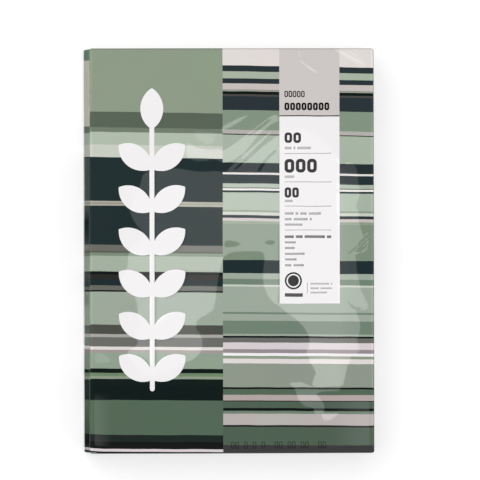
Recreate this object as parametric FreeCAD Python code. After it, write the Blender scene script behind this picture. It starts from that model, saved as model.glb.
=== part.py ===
"""A ream of office paper: 500 A4 sheets sealed in one folded, film-laminated wrapper.

The pack lies flat on its underside, printed panel up. X runs across the sheets, Y along them and Z up.
The origin is on the surface that the pack lies on, under the middle of the pack. Sizes are in millimetres.
"""

import FreeCAD, Part
from FreeCAD import Vector

import math
import os

# The stack inside
SHEET_WIDTH = 210.0
SHEET_LENGTH = 297.0
SHEET_COUNT = 500
SHEET_CALIPER = 0.100

# The wrapper
WRAP_CALIPER = 0.15
SIDE_SLACK = 0.85
END_SLACK = 0.10
FACE_SLACK = 0.25
SIDE_BULGE = 0.60
TOP_CROWN = 0.45
LONG_FOLD_RADIUS = 1.4
END_FOLD_RADIUS = 0.9

# The folded ends
FLAP_REACH = 36.0
MITRE_INSET = 0.4
LAYER_LIFT = 0.45
TUCK_LAYERS = 1

# The long lap seam underneath
SEAM_OFFSET = 34.0
SEAM_LIFT = 0.30
SEAM_RAMP = 12.0

# Worked out
STACK_HEIGHT = SHEET_COUNT * SHEET_CALIPER
HALF_WIDTH = SHEET_WIDTH / 2 + WRAP_CALIPER + SIDE_SLACK
EDGE_HEIGHT = STACK_HEIGHT + 2 * (WRAP_CALIPER + FACE_SLACK)
HALF_LENGTH = SHEET_LENGTH / 2 + WRAP_CALIPER + END_SLACK
LOWER_FLAP_LAYERS = TUCK_LAYERS + 1
UPPER_FLAP_LAYERS = LOWER_FLAP_LAYERS + 1
CLEAR = LONG_FOLD_RADIUS + END_FOLD_RADIUS


def skin(layers):
    """How far from the middle an end's skin stands, with that many folded layers on the stack."""
    return HALF_LENGTH + layers * LAYER_LIFT


def extruded(points, travel):
    """A closed outline of points, pushed along travel."""
    return Part.Face(Part.makePolygon(points + points[:1])).extrude(travel)


def fold_arc(centre, start, end):
    """Three points of a long fold: it turns about its centre from one direction to another."""
    turns = [start, (start + end) / 2, end]
    offsets = [Vector(math.cos(turn), 0, math.sin(turn)) * LONG_FOLD_RADIUS for turn in turns]
    return [centre + offset for offset in offsets]


def section_arcs():
    """The cross-section from its base round the right side, over the top and down the left side."""
    fold_x = HALF_WIDTH - LONG_FOLD_RADIUS
    low_z = LONG_FOLD_RADIUS
    high_z = EDGE_HEIGHT - LONG_FOLD_RADIUS
    side_lean = 2 * math.atan(2 * SIDE_BULGE / (high_z - low_z))
    top_lean = 2 * math.atan(TOP_CROWN / fold_x)
    quarter = math.pi / 2
    low_right = fold_arc(Vector(fold_x, 0, low_z), -quarter, -side_lean)
    high_right = fold_arc(Vector(fold_x, 0, high_z), side_lean, quarter - top_lean)
    high_left = fold_arc(Vector(-fold_x, 0, high_z), quarter + top_lean, 2 * quarter - side_lean)
    low_left = fold_arc(Vector(-fold_x, 0, low_z), 2 * quarter + side_lean, 3 * quarter)
    right_swell = Vector(HALF_WIDTH + SIDE_BULGE, 0, EDGE_HEIGHT / 2)
    crown = Vector(0, 0, EDGE_HEIGHT + TOP_CROWN)
    left_swell = Vector(-HALF_WIDTH - SIDE_BULGE, 0, EDGE_HEIGHT / 2)
    right_side = [low_right[-1], right_swell, high_right[0]]
    top = [high_right[-1], crown, high_left[0]]
    left_side = [high_left[-1], left_swell, low_left[0]]
    return [low_right, right_side, high_right, top, high_left, left_side, low_left]


def section():
    """The cross-section: a flat base, sides that swell, a faint crown and four long folds."""
    arcs = section_arcs()
    edges = [Part.Arc(*points).toShape() for points in arcs]
    base = Part.LineSegment(arcs[-1][-1], arcs[0][0]).toShape()
    return Part.Face(Part.Wire(edges + [base]))


def envelope(layers):
    """The whole pack with that many layers on both ends, and the edges of the ends turned over."""
    reach = skin(layers)
    blank = section()
    blank.translate(Vector(0, -reach, 0))
    block = blank.extrude(Vector(0, 2 * reach, 0))
    end_edges = [edge for edge in block.Edges if edge.BoundBox.YLength < reach]
    return block.makeFillet(END_FOLD_RADIUS, end_edges)


def end_prism(outline, side):
    """An outline drawn on an end, as (x, z) points, pushed through all the layers of that end."""
    start = skin(0) - CLEAR
    depth = skin(UPPER_FLAP_LAYERS) + CLEAR - start
    points = [Vector(x, side * start, z) for x, z in outline]
    return extruded(points, Vector(0, side * depth, 0))


def tuck_outline(hand):
    """The side panel's end, folded in first: a full-height strip as deep as the flaps reach."""
    outer = hand * (HALF_WIDTH + CLEAR)
    inner = hand * (HALF_WIDTH - FLAP_REACH)
    low = -CLEAR
    high = EDGE_HEIGHT + CLEAR
    return [(outer, low), (outer, high), (inner, high), (inner, low)]


def flap_outline(edge, into):
    """A mitred flap, narrower by its reach at its free edge. Its fold is at the height edge.

    into is 1 for the flap that stands up from there and -1 for the one that hangs down.
    """
    half_fold = HALF_WIDTH - MITRE_INSET
    wide = half_fold + CLEAR
    wide_z = edge - into * CLEAR
    narrow = half_fold - FLAP_REACH
    narrow_z = edge + into * FLAP_REACH
    return [(-wide, wide_z), (wide, wide_z), (narrow, narrow_z), (-narrow, narrow_z)]


def layer(layers, outline, side):
    """One folded layer of an end: the envelope at its depth, inside its outline."""
    return envelope(layers).common(end_prism(outline, side))


def lap_profile(open_side):
    """The opening beside the lap's free edge: full depth at the edge, run out along the ramp.

    Each entry is a place across the pack and a depth into it. open_side is how far it clears the skin.
    """
    run_out = SEAM_RAMP * open_side / SEAM_LIFT
    return [
        (SEAM_OFFSET, -open_side),
        (SEAM_OFFSET, SEAM_LIFT),
        (SEAM_OFFSET + SEAM_RAMP, 0),
        (SEAM_OFFSET + SEAM_RAMP + run_out, -open_side),
    ]


def base_lap():
    """The lap's opening along the underside."""
    reach = skin(UPPER_FLAP_LAYERS) + CLEAR
    points = [Vector(x, -reach, depth) for x, depth in lap_profile(SEAM_LIFT)]
    return extruded(points, Vector(0, 2 * reach, 0))


def flap_lap(side):
    """The same opening where the lap runs on up the lower flap of an end."""
    face = skin(LOWER_FLAP_LAYERS)
    points = [Vector(x, side * (face - depth), -CLEAR) for x, depth in lap_profile(SEAM_LIFT)]
    return extruded(points, Vector(0, 0, EDGE_HEIGHT + 2 * CLEAR))


def folded_end(side):
    """The layers of one end in the order in which they are folded."""
    left_tuck = layer(TUCK_LAYERS, tuck_outline(-1), side)
    right_tuck = layer(TUCK_LAYERS, tuck_outline(1), side)
    lower_flap = layer(LOWER_FLAP_LAYERS, flap_outline(0, 1), side).cut(flap_lap(side))
    upper_flap = layer(UPPER_FLAP_LAYERS, flap_outline(EDGE_HEIGHT, -1), side)
    return [left_tuck, right_tuck, lower_flap, upper_flap]


def wrapped_ream():
    """The sealed pack as one solid."""
    pack = envelope(0).fuse(folded_end(-1) + folded_end(1)).removeSplitter()
    return pack.cut(base_lap()).removeSplitter().Solids[0]


os.makedirs("parts", exist_ok=True)
wrapped_ream().exportStep("parts/wrapped_ream.step")
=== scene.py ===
"""The looks of a sealed ream of office paper, with its floor, light and camera."""

import math

import bmesh
import bpy
from mathutils import Matrix, Vector


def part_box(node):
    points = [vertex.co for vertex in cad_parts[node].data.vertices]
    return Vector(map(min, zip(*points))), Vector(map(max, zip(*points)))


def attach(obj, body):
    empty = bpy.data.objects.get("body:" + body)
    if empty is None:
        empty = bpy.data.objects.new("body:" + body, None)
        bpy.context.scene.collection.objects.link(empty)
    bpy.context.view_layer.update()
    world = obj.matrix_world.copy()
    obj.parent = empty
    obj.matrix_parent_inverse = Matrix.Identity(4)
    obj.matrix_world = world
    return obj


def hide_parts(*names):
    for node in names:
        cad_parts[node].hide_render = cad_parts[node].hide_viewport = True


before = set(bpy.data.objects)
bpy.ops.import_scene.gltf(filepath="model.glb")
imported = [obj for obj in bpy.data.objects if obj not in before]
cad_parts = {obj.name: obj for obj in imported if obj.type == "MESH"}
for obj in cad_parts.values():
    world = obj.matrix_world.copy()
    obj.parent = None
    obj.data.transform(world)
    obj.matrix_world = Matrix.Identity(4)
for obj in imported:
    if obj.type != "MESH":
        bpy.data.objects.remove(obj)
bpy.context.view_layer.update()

MM = 0.001
BOX_LOW, BOX_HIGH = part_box("wrapped_ream")

# The wrapper's form, in millimetres
BULGE = 0.6
CROWN = 0.45
LONG_FOLD = 1.4
END_FOLD = 0.9
LAYER_LIFT = 0.3
FLAP_REACH = 36.0
MITRE_INSET = 0.4
LAP_X = 34.0
LAP_LIFT = 0.3
LAP_RAMP = 12.0
LAP_HIDDEN = 8.0
HALF_WIDTH = BOX_HIGH.x / MM - BULGE
HEIGHT = BOX_HIGH.z / MM - CROWN
OUTER_Y = BOX_HIGH.y / MM
FOLD_X = HALF_WIDTH - LONG_FOLD
HALF_FOLD = math.pi / 4
HALF_ARC = LONG_FOLD * HALF_FOLD

# The wrapper's mesh: its steps, how far it ripples, and the core inside it
FOLD_STEPS, END_STEPS = 4, 5
TOP_COLUMNS, SIDE_COLUMNS, ROWS_ALONG, ROW_PULL = 84, 22, 150, 0.35
FLAP_ROWS = (0.03, 0.07, 0.13, 0.2, 0.28, 0.36, 0.44, 0.52, 0.6, 0.68, 0.76, 0.84, 0.91, 0.97, 0.995)
FLAP_CALIPER, EDGE_TURN = 0.3, 0.08
TOP_RIPPLE, SIDE_RIPPLE, FLAP_RIPPLE = 0.06, 0.10, 0.16
WELD = 0.002
CORE_INSET, CORE_END_INSET, CORE_BEVEL = 0.12, 0.05, 1.9

# The flat sheet, measured round the pack from the left long fold, and down from the top end
TOP_SPAN = 2 * FOLD_X + 2 * HALF_ARC
SIDE_SPAN = HEIGHT - 2 * LONG_FOLD + 2 * HALF_ARC
LAST_SHARED_Y = OUTER_Y - 2.2


def smooth(x, low, high):
    t = min(1.0, max(0.0, (x - low) / (high - low)))
    return t * t * (3 - 2 * t)


def graded(low, high, count, pull=0.55):
    """Stations from low to high, closer together towards both ends."""
    stations = []
    for i in range(count + 1):
        t = i / count
        eased = 0.5 - 0.5 * math.cos(math.pi * t)
        stations.append(low + (high - low) * ((1 - pull) * t + pull * eased))
    return stations


def fold_columns(low, high, middle):
    """Stations across a panel as (place, depth, run): half of each long fold and the stations between."""
    end = HALF_ARC + high - low - 2 * LONG_FOLD
    first, last = [], []
    for turn in (HALF_FOLD * k / FOLD_STEPS for k in range(FOLD_STEPS, 0, -1)):
        reach, depth = LONG_FOLD * math.sin(turn), LONG_FOLD * (1 - math.cos(turn))
        first.append((low + LONG_FOLD - reach, depth, LONG_FOLD * (HALF_FOLD - turn)))
        last.insert(0, (high - LONG_FOLD + reach, depth, end + LONG_FOLD * turn))
    return first + [(a, 0.0, HALF_ARC + a - low - LONG_FOLD) for a in middle] + last


def waves(a, y, seed):
    """The slow swell of film-laminated paper over a stack, in millimetres, from -1 to about 1."""
    k = seed * 1.7
    total = 0.42 * math.sin(a / 17.0 + y / 41.0 + k)
    total += 0.30 * math.sin(a / 9.5 - y / 23.0 + 2.1 * k)
    total += 0.22 * math.sin(y / 14.0 + a / 52.0 + 0.6 * k)
    total += 0.10 * math.sin(a / 5.1 + y / 8.3 + 1.3 * k)
    return total


class Panel:
    """One side of the wrapper with its ends folded over: points and their places on the flat sheet."""

    def __init__(self, across, normal, plane, columns, layers, spread, mitred, swell, ripple, seed):
        self.across, self.normal, self.plane = Vector(across), Vector(normal), plane
        self.columns, self.layer_y = columns, OUTER_Y - (3 - layers) * LAYER_LIFT
        self.spread, self.mitred, self.seed = spread, mitred, seed
        self.swell, self.ripple = swell, ripple

    def rows(self):
        """(side, run past the fold's start or None, y) for each row."""
        start = self.layer_y - END_FOLD
        inner = graded(-LAST_SHARED_Y, LAST_SHARED_Y, ROWS_ALONG, ROW_PULL)
        arc = END_FOLD * math.pi / 2
        runs = [arc * k / END_STEPS for k in range(END_STEPS + 1)]
        reach = FLAP_REACH - END_FOLD
        runs += [arc + reach * share for share in FLAP_ROWS]
        runs += [arc + reach, arc + reach + EDGE_TURN]
        low = [(-1, run, None) for run in reversed(runs)]
        high = [(1, run, None) for run in runs]
        return low + [(0, None, y) for y in inner] + high

    def point(self, column, row):
        a, depth, _ = column
        side, run, y = row
        middle = sum(self.spread) / 2
        half = (self.spread[1] - self.spread[0]) / 2
        off = (a - middle) / half
        edge = smooth(min(a - self.spread[0], self.spread[1] - a), 2.0, 14.0)
        rise = self.swell * max(0.0, 1 - off * off)
        if side == 0:
            near = smooth(LAST_SHARED_Y - abs(y), -2.0, 12.0)
            rise += self.ripple * edge * near * waves(a, y, self.seed)
            return self.across * a + Vector((0, y, 0)) + self.normal * (self.plane - depth + rise)
        turn = min(run / END_FOLD, math.pi / 2)
        fall = max(0.0, run - END_FOLD * math.pi / 2)
        fade = math.cos(turn)
        drop = END_FOLD * (1 - math.cos(turn)) + fall
        narrow = a
        if self.mitred:
            fold_half = half - MITRE_INSET * (1 - fade)
            narrow = middle + off * (fold_half - max(0.0, drop - END_FOLD * 0.3))
        last = FLAP_REACH - END_FOLD + END_FOLD * math.pi / 2
        sink = depth + FLAP_CALIPER * smooth(run, last, last + EDGE_TURN) - rise * fade
        loose = smooth(fall, 4.0, 30.0) * edge * (1 - smooth(run, last - 0.5, last))
        sink -= FLAP_RIPPLE * loose * (0.5 + 0.5 * waves(a, side * 30 + run, self.seed + side))
        out = self.normal * math.cos(turn) + Vector((0, side, 0)) * math.sin(turn)
        hinge = self.across * narrow + Vector((0, side * (self.layer_y - END_FOLD), 0))
        hinge += self.normal * (self.plane - END_FOLD - fall)
        return hinge + out * (END_FOLD - sink)

    def flat(self, column, row, u_of):
        """The place of a point on the flat sheet."""
        side, run, y = row
        if side == 0:
            return u_of(column[2]), OUTER_Y - y
        middle = sum(self.spread) / 2
        point = self.point(column, row)
        across = point.dot(self.across)
        shift = across - column[0]
        along = side * (self.layer_y - END_FOLD + run)
        return u_of(column[2] + shift), OUTER_Y - along

    def add_to(self, mesh, layer, u_of):
        rows = self.rows()
        grid = [[mesh.verts.new(self.point(c, r) * MM) for c in self.columns] for r in rows]
        place = [[self.flat(c, r, u_of) for c in self.columns] for r in rows]
        for i in range(len(rows) - 1):
            for j in range(len(self.columns) - 1):
                corners = [(i, j), (i, j + 1), (i + 1, j + 1), (i + 1, j)]
                if self.flipped():
                    corners.reverse()
                face = mesh.faces.new([grid[r][c] for r, c in corners])
                face.smooth = True
                for loop, (r, c) in zip(face.loops, corners):
                    loop[layer].uv = (place[r][c][0] * MM, place[r][c][1] * MM)

    def flipped(self):
        """True where across x Y points inward, so that the faces' order is turned."""
        return self.across.cross(Vector((0, 1, 0))).dot(self.normal) < 0


def side_middle(low, high, count):
    return graded(low + LONG_FOLD, high - LONG_FOLD, count)


def wrapper_panels():
    """The four sides of the wrapper and the run of each one's flat-sheet coordinate."""
    wide = (-HALF_WIDTH, HALF_WIDTH)
    tall = (0.0, HEIGHT)
    fold_wide = fold_columns(*wide, side_middle(*wide, TOP_COLUMNS))
    fold_tall = fold_columns(*tall, side_middle(*tall, SIDE_COLUMNS))
    lap_right = [c for c in fold_wide if c[0] > LAP_X + 0.5]
    lap_left = [c for c in fold_wide if c[0] < LAP_X - 0.5]

    def run_at(a):
        return HALF_ARC + a + FOLD_X

    def lifted_depth(a, depth):
        return depth or LAP_LIFT * (1 - smooth(a, LAP_X + 1.0, LAP_X + LAP_RAMP))

    under = [(a, 0.0, run_at(a)) for a in (LAP_X - LAP_HIDDEN, LAP_X - 2.0, LAP_X + 0.2)] + lap_right
    under = [(a, lifted_depth(a, depth), run) for a, depth, run in under]
    over = lap_left + [
        (LAP_X - 0.3, 0.0, run_at(LAP_X - 0.3)), (LAP_X, 0.05, run_at(LAP_X)),
        (LAP_X + 0.03, LAP_LIFT * 0.9, run_at(LAP_X) + 0.2),
    ]
    up, down, left, right = (0, 0, 1), (0, 0, -1), (-1, 0, 0), (1, 0, 0)
    x, z = right, up
    return [
        (Panel(x, up, HEIGHT, fold_wide, 3, wide, True, CROWN, TOP_RIPPLE, 1), lambda run: run),
        (Panel(z, left, HALF_WIDTH, fold_tall, 1, tall, False, BULGE, SIDE_RIPPLE, 2),
         lambda run: run - SIDE_SPAN),
        (Panel(z, right, HALF_WIDTH, fold_tall, 1, tall, False, BULGE, SIDE_RIPPLE, 3),
         lambda run: TOP_SPAN + SIDE_SPAN - run),
        (Panel(x, down, 0.0, over, 2, wide, True, 0.0, 0.0, 4), lambda run: -SIDE_SPAN - run),
        (Panel(x, down, 0.0, under, 2, wide, True, 0.0, 0.0, 5),
         lambda run: 2 * TOP_SPAN + SIDE_SPAN - run),
    ]


def add_core(mesh, layer):
    """The inside corner of each fold, seen only through the small gaps where the panels part at a corner."""
    made = bmesh.ops.create_cube(mesh, size=2.0)
    low, high = LAP_LIFT + CORE_INSET, HEIGHT - CORE_INSET
    deep = OUTER_Y - 3 * LAYER_LIFT - CORE_END_INSET
    half = Vector((HALF_WIDTH - CORE_INSET, deep, (high - low) / 2))
    for vert in made["verts"]:
        vert.co = Vector((vert.co.x * half.x, vert.co.y * half.y, vert.co.z * half.z + (high + low) / 2)) * MM
    edges = {edge for vert in made["verts"] for edge in vert.link_edges}
    cut = bmesh.ops.bevel(
        mesh, geom=list(edges), offset=CORE_BEVEL * MM, segments=4, profile=0.5, affect="EDGES")
    faces = {face for vert in cut["verts"] for face in vert.link_faces} | set(cut["faces"])
    for face in faces:
        face.smooth = True
        for loop in face.loops:
            x, y, z = loop.vert.co / MM
            hand = -1 if x < 0 else 1
            down = HEIGHT - z
            u = -down if hand < 0 else TOP_SPAN + down
            loop[layer].uv = (u * MM, (OUTER_Y - y) * MM)


def make_wrapper():
    mesh = bmesh.new()
    layer = mesh.loops.layers.uv.new("flat")
    for panel, u_of in wrapper_panels():
        panel.add_to(mesh, layer, u_of)
    bmesh.ops.remove_doubles(mesh, verts=mesh.verts[:], dist=WELD * MM)
    add_core(mesh, layer)
    data = bpy.data.meshes.new("wrapper")
    mesh.to_mesh(data)
    mesh.free()
    wrapper = bpy.data.objects.new("wrapper", data)
    bpy.context.scene.collection.objects.link(wrapper)
    return wrapper


# The inks of the print
INKS = {
    "sage": "8b9884",
    "moss": "576355",
    "willow": "707b6c",
    "mint": "adb9a9",
    "fog": "c5c9be",
    "fir": "222f30",
    "linen": "aaa79b",
    "stone": "959184",
    "pewter": "6a6a64",
    "olive": "565b4d",
    "fern": "788776",
    "celery": "a0ac9c",
    "soot": "121a18",
    "umber": "292a27",
    "teal": "1f2d30",
    "drab": "64675f",
    "lichen": "9aa698",
    "bark": "4c4e48",
    "silver": "a4a39d",
    "ash": "696a66",
    "petal": "dcd6d3",
    "mauve": "9e9693",
    "leaf": "6c8467",
    "pine": "131e1d",
    "bottle": "546756",
    "night": "222a27",
    "coal": "171a18",
    "blush": "d4cbce",
    "petrol": "2a3438",
    "pistachio": "a5b0a0",
    "rose": "c3bbb8",
    "reed": "97998e",
    "cocoa": "494845",
    "eucalyptus": "80917f",
    "dove": "b0adaa",
    "slate": "233034",
    "seed": "a4b1a1",
    "snow": "eae8e5",
    "jade": "6f8170",
    "plum": "93898d",
    "heath": "aea39f",
    "clover": "4f6051",
    "graphite": "3d3c3d",
    "dune": "cdcbbd",
    "tin": "8c9588",
    "clay": "b5afac",
    "lovat": "8d9e8c",
    "marine": "242e31",
    "basil": "718c79",
    "thyme": "7a8b78",
    "label_grey": "c9c4c2",
    "label_white": "edebec",
    "type": "1a1819",
}

# Each band as where it ends, in millimetres down from the top end, and its ink
LEFT_BANDS = [
    (-27.0, "fir"), (-25.2, "linen"), (-17.0, "celery"), (-15.5, "moss"), (45.9, "sage"), (57.9, "moss"),
    (61.7, "willow"), (70.7, "mint"), (79.8, "fog"), (112.1, "fir"),
    (113.6, "linen"), (114.4, "stone"), (115.9, "linen"), (144.5, "fir"), (149.0, "pewter"),
    (150.5, "olive"),
    (152.7, "fern"), (164.8, "celery"), (166.3, "soot"), (170.0, "umber"), (175.3, "teal"),
    (178.3, "drab"),
    (179.1, "soot"), (204.3, "lichen"), (210.7, "bark"), (213.7, "silver"), (219.7, "ash"),
    (222.7, "petal"),
    (225.0, "mauve"), (237.0, "lovat"), (240.0, "soot"), (242.3, "leaf"), (244.5, "sage"),
    (260.3, "pine"),
    (285.9, "bottle"), (291.2, "night"), (296.3, "coal"), (298.2, "blush"), (305.0, "coal"),
    (316.0, "bottle"), (317.8, "fog"), (327.0, "lichen"), (340.0, "pewter"),
]
RIGHT_BANDS = [
    (-29.0, "petrol"), (-21.0, "eucalyptus"), (-19.2, "snow"), (-13.0, "rose"), (-11.4, "umber"),
    (12.6, "petal"), (16.6, "petrol"), (21.8, "pistachio"), (25.6, "petrol"), (30.1, "rose"),
    (31.6, "reed"),
    (33.9, "soot"), (35.4, "cocoa"), (45.5, "petrol"), (60.2, "eucalyptus"), (63.2, "dove"),
    (64.0, "umber"),
    (84.3, "seed"), (91.8, "marine"), (93.3, "petal"), (99.3, "slate"), (102.3, "seed"), (103.1, "drab"),
    (104.6, "snow"), (106.1, "teal"), (119.6, "seed"), (121.1, "sage"), (123.4, "fog"), (125.6, "petrol"),
    (127.9, "rose"), (129.4, "sage"), (156.5, "thyme"), (165.9, "teal"), (170.8, "lichen"),
    (174.6, "jade"),
    (176.1, "fog"), (194.9, "lichen"), (196.4, "jade"), (201.6, "lichen"), (211.4, "jade"),
    (212.9, "lichen"),
    (214.4, "soot"), (217.4, "ash"), (222.7, "blush"), (225.0, "plum"), (227.2, "label_white"),
    (229.9, "sage"),
    (232.8, "petal"), (250.5, "tin"), (252.0, "soot"), (256.2, "bottle"), (260.3, "heath"),
    (261.1, "umber"),
    (266.3, "clover"), (267.9, "soot"), (270.1, "jade"), (279.1, "clay"), (280.3, "umber"),
    (293.4, "clover"),
    (308.0, "graphite"), (315.0, "clover"), (317.2, "petal"), (331.0, "tin"), (340.0, "graphite"),
]
SIDE_BANDS = [(8.3, "basil"), (57.2, "dune")] + LEFT_BANDS[6:]


# Where the sheet's first band starts, and how many bands one colour ramp is given
SHEET_START, RAMP_STOPS = -60.0, 30


def ink(name):
    return colour(INKS[name])


def colour(code):
    """A colour written as six hex digits, as the shader's linear numbers."""
    values = []
    for k in range(0, 6, 2):
        s = int(code[k:k + 2], 16) / 255
        values.append(s / 12.92 if s <= 0.04045 else ((s + 0.055) / 1.055) ** 2.4)
    return (*values, 1.0)


class Tree:
    """A material's nodes, made by short calls. An input is a number, a tuple or another node's output."""

    def __init__(self, tree):
        self.tree = tree

    def node(self, kind, **settings):
        made = self.tree.nodes.new(kind)
        for key, value in settings.items():
            setattr(made, key, value)
        return made

    def feed(self, socket, value):
        if isinstance(value, bpy.types.NodeSocket):
            self.tree.links.new(value, socket)
        elif value is not None:
            socket.default_value = value

    def math(self, operation, *values, clamp=False):
        made = self.node("ShaderNodeMath", operation=operation, use_clamp=clamp)
        for socket, value in zip(made.inputs, values):
            self.feed(socket, value)
        return made.outputs[0]

    def vector(self, operation, *values, scale=None):
        made = self.node("ShaderNodeVectorMath", operation=operation)
        for socket, value in zip(made.inputs, values):
            self.feed(socket, value)
        if scale is not None:
            self.feed(made.inputs["Scale"], scale)
        plain = operation in ("DOT_PRODUCT", "LENGTH", "DISTANCE")
        return made.outputs["Value" if plain else "Vector"]

    def point(self, x, y, z=0.0):
        made = self.node("ShaderNodeCombineXYZ")
        for socket, value in zip(made.inputs, (x, y, z)):
            self.feed(socket, value)
        return made.outputs[0]

    def mix(self, share, first, second):
        made = self.node("ShaderNodeMix", data_type="RGBA")
        self.feed(made.inputs[0], share)
        self.feed(made.inputs[6], first)
        self.feed(made.inputs[7], second)
        return made.outputs[2]

    def tint(self, colour_in, factor):
        """A colour made lighter or darker by a factor."""
        return self.vector("SCALE", colour_in, scale=factor)

    def step(self, value, low, high, start=0.0, end=1.0):
        """A smooth rise from start to end as value goes from low to high."""
        made = self.node("ShaderNodeMapRange", interpolation_type="SMOOTHSTEP")
        numbers = {"Value": value, "From Min": low, "From Max": high, "To Min": start, "To Max": end}
        for key, number in numbers.items():
            self.feed(made.inputs[key], number)
        return made.outputs[0]

    def within(self, value, low, high):
        """1 where value lies from low to high."""
        return self.math("COMPARE", value, (low + high) / 2, (high - low) / 2)

    def box(self, u, v, left, right, top, bottom):
        return self.math("MULTIPLY", self.within(u, left, right), self.within(v, top, bottom))

    def noise(self, where, scale, detail=2.0, rough=0.5):
        made = self.node("ShaderNodeTexNoise", noise_dimensions="3D")
        self.feed(made.inputs["Vector"], where)
        made.inputs["Scale"].default_value = scale
        made.inputs["Detail"].default_value = detail
        made.inputs["Roughness"].default_value = rough
        return made.outputs["Fac"]

    def bands(self, v, table):
        """The colour of each stretch of v in a table of (end, ink)."""
        result = None
        for first in range(0, len(table), RAMP_STOPS):
            part = table[first:first + RAMP_STOPS]
            low = table[first - 1][0] if first else SHEET_START
            high = part[-1][0]
            share = self.math("DIVIDE", self.math("SUBTRACT", v, low), high - low, clamp=True)
            ramp = self.node("ShaderNodeValToRGB")
            ramp.color_ramp.interpolation = "CONSTANT"
            stops = ramp.color_ramp.elements
            while len(stops) < len(part):
                stops.new(1.0)
            begin = low
            for stop, (end, name) in zip(stops, part):
                stop.position = (begin - low) / (high - low)
                stop.color = ink(name)
                begin = end
            self.feed(ramp.inputs[0], share)
            colour_out = ramp.outputs[0]
            if result is not None:
                colour_out = self.mix(self.math("GREATER_THAN", v, low), result, colour_out)
            result = colour_out
        return result


LEFT_EDGE = 98.9
LABEL = (141.2, 186.0)
LABEL_SPLIT = 50.6
LABEL_FOOT = 189.2
TYPE_LEFT = 145.0

# Rows of stand-in type on the label as top, bottom, how dark, and its words' left and right ends
TYPE_ROWS = [
    (72.8, 74.8, 0.55, [(0.0, 5.2), (6.6, 8.0), (9.4, 19.6)]),
    (94.2, 96.2, 0.55, [(0.0, 7.2)]),
    (112.4, 114.2, 0.55, [(0.0, 6.0)]),
    (121.6, 123.4, 0.60, [(0.0, 6.6), (8.0, 10.2), (11.6, 16.4), (17.8, 27.0)]),
    (125.8, 127.6, 0.60, [(0.0, 5.2), (6.6, 17.2), (18.6, 20.2)]),
    (129.9, 131.6, 0.60, [(0.0, 13.2)]),
    (138.8, 140.8, 0.85, [(0.0, 6.8), (8.2, 13.4), (14.8, 30.0), (31.4, 34.6)]),
    (143.2, 144.8, 0.65, [(0.0, 8.2)]),
    (147.3, 148.9, 0.65, [(0.0, 7.4)]),
    (151.6, 153.2, 0.65, [(0.0, 14.8)]),
    (155.7, 157.3, 0.65, [(0.0, 8.8)]),
    (160.0, 161.6, 0.65, [(0.0, 5.0), (6.4, 14.2)]),
    (173.9, 175.2, 0.55, [(19.0, 33.0), (34.2, 35.4)]),
    (177.3, 178.6, 0.55, [(19.0, 25.4), (26.6, 35.0)]),
    (180.5, 181.8, 0.55, [(19.0, 31.4)]),
    (181.6, 184.2, 0.95, [(0.0, 13.4)]),
]
# Rows of rounded rings in place of larger letters: top, bottom, pitch, how many and stroke
BLOCK_ROWS = [
    (31.6, 36.2, 3.1, 5, 0.8), (40.3, 46.0, 4.25, 8, 1.45), (62.5, 70.2, 6.6, 2, 2.0),
    (82.0, 92.2, 8.4, 3, 2.5), (103.2, 110.8, 5.7, 2, 1.9),
]
RULES = [77.9, 99.1, 117.1, 134.8]
STAMP_LEFT, STAMP, STAMP_DARK = 104.6, (291.4, 296.7, 3.25, 22, 0.75), 0.55
# Which of the stamp row's cells are filled, as first and last of each group
STAMP_GROUPS = [(0, 2), (3, 4), (5, 6), (7, 8), (10, 12), (13, 15), (16, 18), (20, 22)]
RULE_END = 34.8
MARK, MARK_GAP = (6.4, 172.4, 6.4), 0.72
SIDE_RULE, SPLIT_THICKNESS, RULE_HALF, RULE_DARK = (16.6, 17.1, 173.5, 181.8), 0.8, 0.3, 0.6
RING_HALF_WIDTH, RING_CORNER = 0.43, 0.36


def letter_blocks(t, x, v, row):
    """A row of rounded rings, one for each letter."""
    top, bottom, pitch, count, stroke = row
    half_width, half_height, corner = RING_HALF_WIDTH * pitch, (bottom - top) / 2, RING_CORNER * pitch
    cell = t.math("SUBTRACT", t.math("FLOORED_MODULO", x, pitch), half_width)
    dx = t.math("MAXIMUM", t.math("SUBTRACT", t.math("ABSOLUTE", cell), half_width - corner), 0.0)
    dy = t.math("ABSOLUTE", t.math("SUBTRACT", v, (top + bottom) / 2))
    dy = t.math("MAXIMUM", t.math("SUBTRACT", dy, half_height - corner), 0.0)
    edge = t.math("SUBTRACT", t.vector("LENGTH", t.point(dx, dy)), corner)
    ring = t.math("COMPARE", edge, -stroke / 2, stroke / 2)
    return t.math("MULTIPLY", ring, t.within(x, 0.0, count * pitch))


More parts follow.
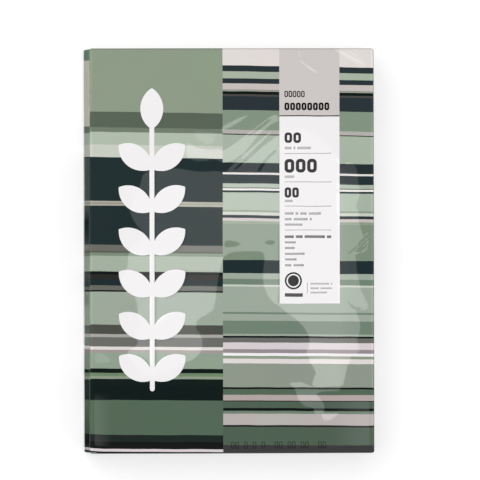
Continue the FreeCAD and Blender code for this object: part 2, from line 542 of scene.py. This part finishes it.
def label_art(t, u, v, base):
    """The label column: a grey head, a white field, thin rules, stand-in type and a plain round mark."""
    on_label = t.box(u, v, *LABEL, SHEET_START, LABEL_FOOT)
    field = t.mix(t.math("GREATER_THAN", v, LABEL_SPLIT), ink("label_grey"), ink("label_white"))
    field = t.mix(t.box(u, v, *LABEL, LABEL_SPLIT - SPLIT_THICKNESS, LABEL_SPLIT), field, ink("type"))
    x = t.math("SUBTRACT", u, TYPE_LEFT)
    darkness = 0.0
    for top, bottom, dark, words in TYPE_ROWS:
        row = 0.0
        for left, right in words:
            row = t.math("ADD", row, t.within(x, left, right))
        row = t.math("MULTIPLY", row, t.math("MULTIPLY", t.within(v, top, bottom), dark))
        darkness = t.math("MAXIMUM", darkness, row)
    for row in BLOCK_ROWS:
        darkness = t.math("MAXIMUM", darkness, letter_blocks(t, x, v, row))
    for height in RULES:
        rule = t.box(x, v, 0.0, RULE_END, height - RULE_HALF, height + RULE_HALF)
        darkness = t.math("MAXIMUM", darkness, t.math("MULTIPLY", rule, RULE_DARK))
    away = t.vector("DISTANCE", t.point(x, v), (MARK[0], MARK[1], 0.0))
    gap = t.math("COMPARE", away, MARK_GAP * MARK[2], 0.5)
    disc = t.math("SUBTRACT", t.math("LESS_THAN", away, MARK[2]), gap, clamp=True)
    darkness = t.math("MAXIMUM", darkness, disc)
    darkness = t.math("MAXIMUM", darkness, t.math("MULTIPLY", t.box(x, v, *SIDE_RULE), RULE_DARK))
    field = t.mix(darkness, field, ink("type"))
    x = t.math("SUBTRACT", u, STAMP_LEFT)
    filled = 0.0
    for first, last in STAMP_GROUPS:
        filled = t.math("ADD", filled, t.within(x, first * STAMP[2], last * STAMP[2]))
    stamp = t.math("MULTIPLY", letter_blocks(t, x, v, STAMP), t.math("MULTIPLY", filled, STAMP_DARK))
    base = t.mix(stamp, base, ink("soot"))
    return t.mix(on_label, base, field)


SPRIG_CENTRE, SPRIG_TOP, SPRIG_BOTTOM, SPRIG_END, LEAF_PAIRS = 46.2, 29.5, 247.5, 254.0, 6
LEAF_LEAN, LEAF_LENGTH, LEAF_WIDTH, STEM_HALF = math.radians(36), 30.5, 17.0, 1.8
LEAF_PITCH = (SPRIG_BOTTOM - SPRIG_TOP - LEAF_LENGTH) / LEAF_PAIRS


def leaf_shape(t, run, rise):
    """1 inside a leaf that starts at the origin and runs along run."""
    radius = (LEAF_LENGTH ** 2 + LEAF_WIDTH ** 2) / (4 * LEAF_WIDTH)
    offset = radius - LEAF_WIDTH / 2
    here = t.point(run, rise)
    leaf = 1.0
    for side in (-1, 1):
        disc = t.math("LESS_THAN", t.vector("DISTANCE", here, (LEAF_LENGTH / 2, side * offset, 0.0)), radius)
        leaf = t.math("MULTIPLY", leaf, disc)
    return leaf


def sprig_art(t, u, v, base):
    """A plain white sprig up the left panel: a stem with pairs of bold leaves and one at its tip."""
    across = t.math("ABSOLUTE", t.math("SUBTRACT", u, SPRIG_CENTRE))
    first = SPRIG_TOP + LEAF_LENGTH
    along = t.math("FLOORED_MODULO", t.math("SUBTRACT", v, first), LEAF_PITCH)
    y = t.math("SUBTRACT", along, LEAF_PITCH - STEM_HALF)
    c, d = math.cos(LEAF_LEAN), math.sin(LEAF_LEAN)
    run = t.math("SUBTRACT", t.math("MULTIPLY", across, c), t.math("MULTIPLY", y, d))
    rise = t.math("ADD", t.math("MULTIPLY", across, d), t.math("MULTIPLY", y, c))
    pairs = t.math("MULTIPLY", leaf_shape(t, run, rise), t.within(v, first, SPRIG_BOTTOM))
    nearest = t.math("MINIMUM", t.math("MAXIMUM", v, first), SPRIG_END - STEM_HALF)
    away = t.vector("DISTANCE", t.point(across, v), t.point(0.0, nearest))
    stem = t.math("LESS_THAN", away, STEM_HALF)
    tip = leaf_shape(t, t.math("SUBTRACT", v, SPRIG_TOP), across)
    white = t.math("MAXIMUM", t.math("MAXIMUM", pairs, tip), stem)
    return t.mix(white, base, ink("label_white"))


# The film's slow swell and the print's unevenness: ink drift as a share, the rest in millimetres
INK_DRIFT, BAND_SWAY, FILM_SWELL = 0.09, 0.7, 0.015
SKEW_TOP, SKEW_FOOT, LEFT_PIVOT, RIGHT_PIVOT = 0.0175, 0.0070, 7.0, 104.0
EAR_PATCH = (-3.0, 4.8, 298.9, 304.0)

# Creases in the film as two ends on the flat sheet, width, height, and how pale the ink is painted along them:
# cracked ink, and in part a painted highlight
CREASES = [
    (182.5, 0.6, 206.5, 13.2, 1.3, 0.24, 0.50), (190.0, 0.0, 204.0, 9.6, 0.8, 0.20, 0.30),
    (184.5, 4.0, 203.0, 13.0, 0.5, -0.12, 0.0),
    (155.6, 2.4, 157.4, 6.6, 0.5, 0.14, 0.30), (156.2, 9.0, 162.4, 13.2, 0.5, 0.16, 0.30),
    (160.8, 12.4, 169.6, 18.4, 0.6, 0.22, 0.50), (2.0, 2.0, 22.0, 19.0, 1.2, 0.05, 0.0),
    (205.3, 141.0, 197.0, 150.4, 0.55, -0.07, 0.0), (207.0, 142.2, 205.2, 144.7, 0.5, -0.07, 0.0),
    (206.8, 146.4, 202.8, 150.0, 0.5, -0.08, 0.0),
    (206.9, 148.6, 202.4, 151.5, 0.5, 0.09, 0.16), (202.8, 151.4, 195.0, 153.0, 0.5, 0.07, 0.10),
    (207.6, 136.6, 199.6, 144.6, 0.45, 0.07, 0.08), (207.8, 139.6, 192.6, 152.6, 0.45, -0.08, 0.0),
    (208.4, 143.4, 203.4, 147.4, 0.4, 0.07, 0.06),
    (196.6, 0.8, 202.6, 5.4, 0.5, 0.15, 0.25), (187.0, 5.0, 204.6, 14.8, 0.45, 0.14, 0.22),
    (98.0, 78.0, 140.0, 46.0, 2.2, 0.05, 0.0), (104.0, 92.0, 150.0, 50.0, 1.8, -0.04, 0.0),
]


def film_creases(t, place):
    """Height of the creases and the film's slow swell in millimetres, and how pale the ink is painted along
    the creases: cracked ink, and in part a painted highlight.
    """
    total, pale = t.math("MULTIPLY", t.noise(place, 0.035, 1.0, 0.4), FILM_SWELL), 0.0
    for u0, v0, u1, v1, width, height, cracks_and_painted_highlight in CREASES:
        span = Vector((u1 - u0, v1 - v0, 0))
        off = t.vector("SUBTRACT", place, (u0, v0, 0.0))
        share = t.vector("DOT_PRODUCT", off, tuple(span / span.length_squared))
        share = t.math("MULTIPLY", share, 1.0, clamp=True)
        foot = t.vector("SCALE", tuple(span), scale=share)
        ridge = t.step(t.vector("DISTANCE", off, foot), 0.0, width * 1.6, 1.0, 0.0)
        ridge = t.math("MULTIPLY", ridge, t.math("SQRT", t.math("SINE", t.math("MULTIPLY", share, math.pi))))
        total = t.math("ADD", total, t.math("MULTIPLY", ridge, height))
        if cracks_and_painted_highlight:
            pale = t.math("MAXIMUM", pale, t.math("MULTIPLY", ridge, cracks_and_painted_highlight))
    return total, pale


def flat_place(t):
    """The place on the flat sheet, in millimetres, as a vector and as its two numbers."""
    source = t.node("ShaderNodeUVMap", uv_map="flat")
    place = t.vector("SCALE", source.outputs["UV"], scale=1 / MM)
    split = t.node("ShaderNodeSeparateXYZ")
    t.feed(split.inputs[0], place)
    return place, split.outputs[0], split.outputs[1]


def side_print(t, u, v):
    """The bands of a side. The last ones rise a little towards the left fold."""
    return t.bands(lifted(t, u, v), SIDE_BANDS)


def lifted(t, u, v):
    """v raised a little beside the left fold near the foot, where the sheet was pulled up."""
    return t.math("ADD", v, t.math("MULTIPLY", t.step(u, -3.0, 12.0, 0.7, 0.0), t.step(v, 270.0, 290.0)))


def printed(t, u, v, drift=None):
    """The whole print. It runs a little out of square with the pack, more at the top than at the foot."""
    skew = t.step(v, 0.0, 300.0, SKEW_TOP, SKEW_FOOT)
    sway = t.math("SUBTRACT", t.noise(t.point(u, v), 0.045, 1.0, 0.5), 0.5)
    sway = t.math("MULTIPLY", sway, BAND_SWAY)
    v = t.math("ADD", v, sway)
    left_v = t.math("SUBTRACT", lifted(t, u, v), t.math("MULTIPLY", skew, t.math("SUBTRACT", u, LEFT_PIVOT)))
    right_v = t.math("SUBTRACT", v, t.math("MULTIPLY", skew, t.math("SUBTRACT", u, RIGHT_PIVOT)))
    on_right = t.math("GREATER_THAN", u, LEFT_EDGE)
    face = t.mix(on_right, t.bands(left_v, LEFT_BANDS), t.bands(right_v, RIGHT_BANDS))
    face = t.mix(t.math("LESS_THAN", u, 0.0), face, side_print(t, u, v))
    face = t.mix(t.math("LESS_THAN", u, -SIDE_SPAN), face, t.bands(v, RIGHT_BANDS))
    face = t.mix(t.box(u, v, *EAR_PATCH), face, ink("jade"))
    if drift is not None:
        face = t.vector("MULTIPLY", face, drift)
    return label_art(t, u, v, sprig_art(t, u, v, face))


def ink_drift(t, place):
    """Ink laid a little unevenly: a factor for each of the three primaries."""
    noise = t.node("ShaderNodeTexNoise", noise_dimensions="3D")
    t.feed(noise.inputs["Vector"], place)
    noise.inputs["Scale"].default_value = 0.03
    noise.inputs["Detail"].default_value = 2.0
    shift = t.vector("SCALE", t.vector("SUBTRACT", noise.outputs["Color"], (0.5, 0.5, 0.5)), scale=INK_DRIFT)
    grain = t.step(t.noise(place, 0.9, 2.0, 0.5), 0.3, 0.7, 0.985, 1.015)
    return t.vector("SCALE", t.vector("ADD", shift, (1.0, 1.0, 1.0)), scale=grain)


# The folds and the film
# The first two are the strengths of the painted shade and the painted highlight along the long folds
FOLD_PAINTED_SHADE, FOLD_PAINTED_HIGHLIGHT, FOLD_WORN, FOLD_GLOSS = 0.40, 0.12, 0.02, 0.25
BARE_PAPER_AND_HIGHLIGHT = "f4f2ef"
FILM_IOR, FILM_ROUGHNESS = 1.5, 0.03


def wrapper_material():
    material = bpy.data.materials.new("printed_film")
    material.use_nodes = True
    material.node_tree.nodes.clear()
    t = Tree(material.node_tree)
    place, u, v = flat_place(t)
    face = printed(t, u, v, ink_drift(t, place))

    # Painted shade as a dark line and a painted highlight as a light one along the long folds, painted shade
    # on the end folds, and ink painted pale in the creases, partly cracked ink and partly a painted highlight
    inward = t.math("MINIMUM", u, t.math("SUBTRACT", TOP_SPAN, u))
    patchy = t.step(t.noise(place, 0.12, 2.0, 0.5), 0.3, 0.6, 0.35, 1.0)
    # Painted shade: a patchy dark line along each long fold
    painted_fold_shade = t.step(t.math("ABSOLUTE", t.math("ADD", inward, 0.35)), 0.2, 0.8, FOLD_PAINTED_SHADE, 0.0)
    painted_fold_shade = t.math("MULTIPLY", painted_fold_shade, patchy)
    # Painted highlight: a light line beside each long fold, on the face side
    painted_fold_highlight = t.step(t.math("ABSOLUTE", t.math("SUBTRACT", inward, 1.1)), 0.3, 1.0, FOLD_PAINTED_HIGHLIGHT, 0.0)
    face = t.tint(face, t.math("ADD", t.math("SUBTRACT", 1.0, painted_fold_shade), painted_fold_highlight))
    worn = t.math("MULTIPLY", t.step(t.math("ABSOLUTE", inward), 0.0, 0.8, FOLD_WORN, 0.0), patchy)
    height, cracks_and_painted_highlight = film_creases(t, place)
    # Wear along the folds, and creases painted pale (cracked ink and in part a painted highlight), mixed
    # towards the colour of bare paper
    face = t.mix(t.math("MAXIMUM", worn, cracks_and_painted_highlight), face, colour(BARE_PAPER_AND_HIGHLIGHT))
    # Painted shade: the print darker along the rounding of both end folds
    end = t.math("MINIMUM", v, t.math("SUBTRACT", 2 * OUTER_Y, v))
    face = t.tint(face, t.step(t.math("ABSOLUTE", t.math("SUBTRACT", end, 0.3)), 0.1, 1.1, 0.72, 1.0))

    shader = t.node("ShaderNodeBsdfPrincipled")
    t.feed(shader.inputs["Base Color"], face)
    shader.inputs["Specular IOR Level"].default_value = 0.0
    shader.inputs["IOR"].default_value = FILM_IOR
    t.feed(shader.inputs["Coat Weight"], t.step(t.math("ABSOLUTE", inward), 0.5, 1.4, FOLD_GLOSS, 1.0))
    shader.inputs["Coat Roughness"].default_value = FILM_ROUGHNESS
    shader.inputs["Coat IOR"].default_value = FILM_IOR
    t.feed(shader.inputs["Roughness"], t.step(t.noise(place, 0.2, 3.0, 0.5), 0.3, 0.7, 0.42, 0.55))
    bump = t.node("ShaderNodeBump")
    bump.inputs["Strength"].default_value = 1.0
    bump.inputs["Distance"].default_value = MM
    t.feed(bump.inputs["Height"], height)
    t.feed(shader.inputs["Normal"], bump.outputs[0])
    t.feed(shader.inputs["Coat Normal"], bump.outputs[0])
    out = t.node("ShaderNodeOutputMaterial")
    t.feed(out.inputs["Surface"], shader.outputs[0])
    return material


wrapper = make_wrapper()
wrapper.data.materials.append(wrapper_material())
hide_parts("wrapped_ream")
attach(wrapper, "root")


# Floor, light and camera: sizes in metres, powers in watts
FLOOR_SIZE, FLOOR_DROP, FLOOR_GREY, FLOOR_LIFT, AIR_LIGHT = 12, 0.0002, 0.52, 0.56, 0.58
KEY = ((-1.0, 0.7, 2.4), (2.2, 2.2), 37)
FILL = ((1.6, -1.1, 2.2), (2.0, 2.0), 15)


def add_plane(name, size, place):
    data = bpy.data.meshes.new(name)
    x, y = size[0] / 2, size[1] / 2
    data.from_pydata([(-x, -y, 0), (x, -y, 0), (x, y, 0), (-x, y, 0)], [], [(0, 1, 2, 3)])
    plane = bpy.data.objects.new(name, data)
    plane.location = place
    bpy.context.scene.collection.objects.link(plane)
    return plane


def floor_material():
    """A matt floor, lifted for the camera so that it reads as white ground with the shadow kept."""
    material = bpy.data.materials.new("floor")
    material.use_nodes = True
    material.node_tree.nodes.clear()
    t = Tree(material.node_tree)
    matt = t.node("ShaderNodeBsdfDiffuse")
    matt.inputs["Color"].default_value = (FLOOR_GREY, FLOOR_GREY, FLOOR_GREY, 1)
    lift = t.node("ShaderNodeEmission")
    path = t.node("ShaderNodeLightPath")
    seen = t.math("MAXIMUM", path.outputs["Is Camera Ray"], path.outputs["Is Glossy Ray"])
    seen = t.math("MAXIMUM", seen, path.outputs["Is Transmission Ray"])
    t.feed(lift.inputs["Strength"], t.math("MULTIPLY", seen, FLOOR_LIFT))
    both = t.node("ShaderNodeAddShader")
    t.feed(both.inputs[0], matt.outputs[0])
    t.feed(both.inputs[1], lift.outputs[0])
    out = t.node("ShaderNodeOutputMaterial")
    t.feed(out.inputs["Surface"], both.outputs[0])
    return material


floor = add_plane("floor", (FLOOR_SIZE, FLOOR_SIZE), (0, 0, -FLOOR_DROP))
floor.data.materials.append(floor_material())

world = bpy.data.worlds.new("studio")
bpy.context.scene.world = world
world.use_nodes = True
sky = Tree(world.node_tree)
world.node_tree.nodes.clear()
air = sky.node("ShaderNodeBackground")
air.inputs["Color"].default_value = (1, 1, 1, 1)
path = sky.node("ShaderNodeLightPath")
seen = sky.math("MAXIMUM", path.outputs["Is Camera Ray"], path.outputs["Is Glossy Ray"])
seen = sky.math("MAXIMUM", seen, path.outputs["Is Transmission Ray"])
sky.feed(air.inputs["Strength"], sky.step(seen, 0.0, 1.0, AIR_LIGHT, 1.0))
sky.feed(sky.node("ShaderNodeOutputWorld").inputs["Surface"], air.outputs[0])


def add_softbox(name, place, size, power):
    data = bpy.data.lights.new(name, "AREA")
    data.shape, data.size, data.size_y, data.energy = "RECTANGLE", size[0], size[1], power
    lamp = bpy.data.objects.new(name, data)
    lamp.location = place
    lamp.rotation_euler = (Vector((0, 0, 0)) - Vector(place)).to_track_quat("-Z", "Y").to_euler()
    bpy.context.scene.collection.objects.link(lamp)


add_softbox("key", *KEY)
add_softbox("fill", *FILL)


# The camera looks nearly straight down on the printed face, from a little to the left
CAMERA_DISTANCE = 14.0
CAMERA_YAW = math.radians(5.8)
CAMERA_ROLL = math.radians(0.113)
CAMERA_SHIFT = Vector((-0.01114, -0.00803))
PIXELS_PER_METRE = 1344.7
IMAGE_WIDTH, SENSOR_WIDTH, CLIP_END = 480, 36.0, 30.0


def add_camera():
    turn = Matrix.Rotation(CAMERA_ROLL, 3, "Z") @ Matrix.Rotation(CAMERA_YAW, 3, "Y")
    offset = Vector((CAMERA_SHIFT.x, CAMERA_SHIFT.y, -CAMERA_DISTANCE))
    data = bpy.data.cameras.new("camera")
    data.sensor_fit = "HORIZONTAL"
    data.sensor_width = SENSOR_WIDTH
    data.lens = PIXELS_PER_METRE * CAMERA_DISTANCE / IMAGE_WIDTH * SENSOR_WIDTH
    data.clip_end = CLIP_END
    camera = bpy.data.objects.new("camera", data)
    camera.matrix_world = Matrix.Translation(-(turn.transposed() @ offset)) @ turn.transposed().to_4x4()
    bpy.context.scene.collection.objects.link(camera)
    bpy.context.scene.camera = camera
    return camera


camera = add_camera()


def on_face(u, v):
    """A place on the flat sheet as x, y on the top face, in millimetres."""
    return u - HALF_ARC - FOLD_X, OUTER_Y - v


def smooth_loop(points, steps=6):
    """A closed curve through the points (Catmull-Rom)."""
    curve = []
    count = len(points)
    for i in range(count):
        a, b, c, d = (Vector(points[(i + k) % count]) for k in (-1, 0, 1, 2))
        for step in range(steps):
            t = step / steps
            bend = (2 * a - 5 * b + 4 * c - d) * t * t + (3 * b - a - 3 * c + d) * t ** 3
            curve.append(0.5 * (2 * b + (c - a) * t + bend))
    return curve


def card_material(name, glow):
    """A glowing material. glow is a plain strength, or a function that gives a colour and a strength."""
    material = bpy.data.materials.new(name)
    material.use_nodes = True
    material.node_tree.nodes.clear()
    t = Tree(material.node_tree)
    light = t.node("ShaderNodeEmission")
    hue, strength = glow(t) if callable(glow) else (None, glow)
    t.feed(light.inputs["Color"], hue)
    t.feed(light.inputs["Strength"], strength)
    t.feed(t.node("ShaderNodeOutputMaterial").inputs["Surface"], light.outputs[0])
    return material


def add_card(name, corners, material, places=None):
    """A card that only reflections see. places are its corners' places on the flat sheet."""
    data = bpy.data.meshes.new(name)
    data.from_pydata([tuple(corner) for corner in corners], [], [tuple(range(len(corners)))])
    layer = data.uv_layers.new(name="flat")
    for loop in data.loops:
        if places:
            layer.data[loop.index].uv = [n * MM for n in places[loop.vertex_index]]
    card = bpy.data.objects.new(name, data)
    data.materials.append(material)
    card.visible_camera = card.visible_diffuse = card.visible_shadow = card.visible_transmission = False
    card.visible_volume_scatter = False
    bpy.context.scene.collection.objects.link(card)


def add_mirrored_card(name, outline, height, material):
    """A card at a height whose mirror image in the level top face fills an outline on the flat sheet."""
    eye = camera.matrix_world.translation
    corners = []
    for u, v in outline:
        spot = Vector((*on_face(u, v), HEIGHT)) * MM
        back = eye - spot
        bounce = Vector((-back.x, -back.y, back.z))
        corners.append(spot + bounce * (height / bounce.z))
    add_card(name, corners, material, outline)


def window_glow(gain):
    """A window behind slats: it is dim over dark print and bright over pale print, and plain over white."""
    def glow(t):
        _, u, v = flat_place(t)
        face = printed(t, u, v)
        pale = t.vector("DOT_PRODUCT", face, (0.3, 0.5, 0.2))
        strength = t.math("SUBTRACT", t.step(pale, 0.0, 0.24, 1.1, 3.4), t.step(pale, 0.65, 0.82, 0.0, 2.6))
        return None, t.math("MULTIPLY", strength, t.step(u, 185.0, 196.0, gain, 0.8 * gain))
    return glow


def foot_glow(t):
    """A soft sheen beside the two long folds at the foot."""
    _, u, v = flat_place(t)
    near = t.math("MAXIMUM", t.step(u, 180.0, 206.0), t.step(u, 2.0, 14.0, 1.0, 0.0))
    return None, t.math("MULTIPLY", t.math("MULTIPLY", near, t.step(v, 254.0, 264.0)), FOOT_SHEEN)


# Windows and walls that the film mirrors, as outlines on the flat sheet
WINDOW = [
    (38, 93), (45, 90), (54, 91), (62, 89.5), (70, 90), (82, 91.5), (92, 91), (101, 91), (109, 86),
    (117, 80), (124, 75.5), (133, 70.5),
    (141, 65.5), (160, 60), (181, 74), (190, 87), (195, 85), (200, 86.5), (202, 92), (202.5, 100),
    (203.5, 106), (202, 112),
    (200, 117), (201.5, 121), (202, 127), (204, 133), (206.5, 138), (207.5, 141.5), (204, 146),
    (199.5, 150.5), (200, 158),
    (201, 166), (203, 173), (205, 180), (208, 187), (209.3, 191.5), (207, 194.5), (200.5, 195.5),
    (202, 199.5), (203, 206),
    (202, 211.5), (200.5, 216.5), (201.3, 222), (201, 225.5), (196.5, 229), (194.5, 235), (193.3, 240.5),
    (191.5, 246),
    (189.5, 250.5), (180, 251), (168.5, 251), (168.5, 245), (170, 240), (167.5, 235.5), (165, 230),
    (162.7, 225), (164, 220),
    (164.3, 215), (162.5, 210.5), (160, 206.5), (156.5, 202.5), (151.5, 198.5), (147, 195), (143, 191.5),
    (138, 188.3),
    (134.3, 184.5), (131.3, 179), (129.3, 171), (129.4, 162), (130, 155), (129, 151.5), (125, 150.3),
    (115, 150.3),
    (107, 151.3), (101.5, 153.5), (98, 158), (96.5, 166), (95, 174), (94, 181), (93, 187), (91, 193.5),
    (87, 197), (81.5, 200),
    (79.3, 203), (79, 207.5), (82, 212), (83.3, 218), (81.5, 225), (76.5, 230.5), (69, 234), (60, 239),
    (48, 242), (38, 241),
    (32, 235), (28.5, 230), (26, 225.5), (30, 222), (33.5, 218), (32, 213), (33, 208), (36, 204),
    (34.5, 198), (34.5, 190),
    (33, 183.5), (28, 178.5), (24, 174), (22.5, 170), (25, 166), (27, 162), (27, 155), (28, 149.5),
    (32, 146), (37, 141),
    (38, 136), (34, 131.5), (30, 125), (28, 118), (31, 110), (35, 101),
]
LOW_PANE = [
    (165, 230), (172, 229), (184, 229), (196.5, 229), (194.5, 235), (193.3, 240.5), (191.5, 246),
    (189.5, 250.5), (180, 251),
    (168.5, 251), (168.5, 245), (170, 240), (167.5, 235.5),
]
STREAKS = [
    [(99.3, 57.5), (104, 55), (110, 51.7), (117.5, 49.3), (113, 53), (107, 56.8), (102, 59.2), (98, 61)],
    [(72, 71.5), (80, 74.3), (90, 75), (99, 73.8), (106, 72.3), (112, 69.3), (118, 65.5), (124, 61),
     (130, 56.7), (136, 53),
     (142, 50.5), (142, 53.6), (136, 56.6), (131, 60.4), (126, 64.8), (122, 69.5), (117, 75.5),
     (111, 80.3), (105, 83.3),
     (99, 84), (92, 82), (86, 83.3), (78, 83.4), (72, 80)],
    [(149, 248.3), (158, 247.6), (164, 249.6), (172, 252), (187, 251.7), (187, 254), (176, 254.5),
     (171, 256.5), (173.5, 260),
     (176.3, 264), (176.6, 268), (175, 271), (169, 271), (168, 267.3), (162, 266), (157, 262),
     (154.5, 257.5), (152.8, 252.5)],
    [(174.3, 271.5), (180, 270.8), (187.5, 270.6), (184.5, 273), (181, 275.8), (177, 276.3),
     (174.8, 274.2)],
]
FAINT = [
    [(77.5, 62.5), (86, 62), (94, 62.3), (93.3, 66), (92, 69.4), (88, 71.3), (83.5, 70), (80, 67)],
    [(1.5, 226), (5, 226), (9, 228), (13.2, 231.6), (11, 233.2), (5, 233.6), (1.5, 232.3)],
]
GAPS = [
    [(125.5, 91.5), (129, 85.5), (134, 80), (139.5, 75.3), (139, 78), (135, 82), (131, 87), (127.5, 92)],
    [(101, 143.2), (106, 142.6), (113, 144.8), (108.5, 147), (101, 147.6)],
    [(130.8, 143.4), (134, 141.6), (138.5, 142.6), (137, 144.6), (133, 145)],
    [(193.3, 187.3), (196, 189.8), (200, 192.3), (205, 192.7), (203, 195), (198.5, 194), (195, 190.8)],
]

FOOT = [(1.0, 250.0), (210.5, 250.0), (210.5, 294.0), (1.0, 294.0)]
FOOT_SHEEN = 0.8

# How high the cards stand, in metres: the lower hides the higher
FOOT_CARD, WINDOW_CARD, PANE_CARD, STREAK_CARD, FAINT_CARD, GAP_CARD = 0.160, 0.150, 0.146, 0.143, 0.141, 0.140
CEILING = [(-1.1, -1.0, 1.6), (1.1, -1.0, 1.6), (1.1, 1.0, 1.6), (-1.1, 1.0, 1.6)]
WALL = [(-1.2, -1.2, 0.02), (-1.2, 1.2, 0.02), (-1.2, 1.2, 1.7), (-1.2, -1.2, 1.7)]

DIM = card_material("dim", 0.03)
WINDOW_LIGHT = card_material("window_light", window_glow(1.0))
BRIGHT_LIGHT = card_material("bright_window_light", window_glow(1.2))
FAINT_LIGHT = card_material("faint_window_light", window_glow(0.4))
add_card("ceiling", CEILING, DIM)
add_card("wall", WALL, DIM)
add_mirrored_card("foot", FOOT, FOOT_CARD, card_material("foot_light", foot_glow))
add_mirrored_card("window", smooth_loop(WINDOW), WINDOW_CARD, WINDOW_LIGHT)
add_mirrored_card("low_pane", smooth_loop(LOW_PANE), PANE_CARD, BRIGHT_LIGHT)
for number, outline in enumerate(STREAKS):
    add_mirrored_card("streak_%d" % number, smooth_loop(outline), STREAK_CARD, WINDOW_LIGHT)
for number, outline in enumerate(FAINT):
    add_mirrored_card("faint_%d" % number, smooth_loop(outline), FAINT_CARD, FAINT_LIGHT)
for number, outline in enumerate(GAPS):
    add_mirrored_card("gap_%d" % number, smooth_loop(outline), GAP_CARD, DIM)


# The glow beside the left side, down the pack: where, its share of that side's own print, and its plain part
SIDE_GLOW = [
    (0.0, 0.64, 0.0), (78.0, 0.64, 0.0), (82.0, 0.60, 0.09), (108.0, 0.60, 0.09), (119.0, 0.60, 0.08),
    (128.0, 0.40, 0.0),
    (136.0, 0.50, 0.01), (144.0, 0.60, 0.04), (147.5, 0.90, 0.11), (152.0, 0.68, 0.0), (163.0, 0.66, 0.0),
    (167.0, 0.60, 0.08),
    (174.0, 0.60, 0.05), (177.5, 0.80, 0.03), (183.0, 0.36, 0.0), (188.0, 0.34, 0.0), (193.0, 0.74, 0.0),
    (204.0, 0.72, 0.0), (207.0, 0.70, 0.10),
    (218.0, 0.75, 0.12), (223.0, 0.60, 0.0), (236.0, 0.50, 0.0), (242.0, 0.60, 0.03), (258.0, 0.60, 0.03),
    (262.0, 0.85, 0.01), (268.0, 0.80, 0.0),
    (283.0, 0.36, 0.0), (291.0, 0.40, 0.0), (300.0, 0.60, 0.05),
]

SIDE_PLAIN = (0.82, 1.14, 1.02)


def side_glow(t):
    """The colour of the strip beside the left side: a share of a copy of that side's print plus a plain part,
    which the film shows as a painted reflection of the print.
    """
    _, u, v = flat_place(t)
    ramp = t.node("ShaderNodeValToRGB")
    stops = ramp.color_ramp.elements
    while len(stops) < len(SIDE_GLOW):
        stops.new(1.0)
    for stop, (place, share, plain) in zip(stops, SIDE_GLOW):
        stop.position, stop.color = place / SIDE_GLOW[-1][0], (share, plain, 0.0, 1.0)
    t.feed(ramp.inputs[0], t.math("DIVIDE", v, SIDE_GLOW[-1][0], clamp=True))
    split = t.node("ShaderNodeSeparateXYZ")
    t.feed(split.inputs[0], ramp.outputs[0])
    light = t.vector("SCALE", side_print(t, u, v), scale=split.outputs[0])
    return t.vector("ADD", light, t.vector("SCALE", SIDE_PLAIN, scale=split.outputs[1])), 1.0


# A strip of light beside the left side that glows with a copy of that side's print, mirrored by the film there
# as a painted reflection that lifts the print at that low angle
FLAG_NEAR, FLAG_FAR, FLAG_END, FLAG_LIFT, FLAG_U = BOX_LOW.x - 0.0006, BOX_LOW.x - 0.013, 0.17, 0.0004, -20.0
flag = [(FLAG_NEAR, -FLAG_END), (FLAG_NEAR, FLAG_END), (FLAG_FAR, FLAG_END), (FLAG_FAR, -FLAG_END)]
flag_places = [(FLAG_U, OUTER_Y - y / MM) for x, y in flag]
add_card("flag", [(x, y, FLAG_LIFT) for x, y in flag], card_material("side_light", side_glow), flag_places)

bpy.context.scene.view_settings.view_transform = "Standard"
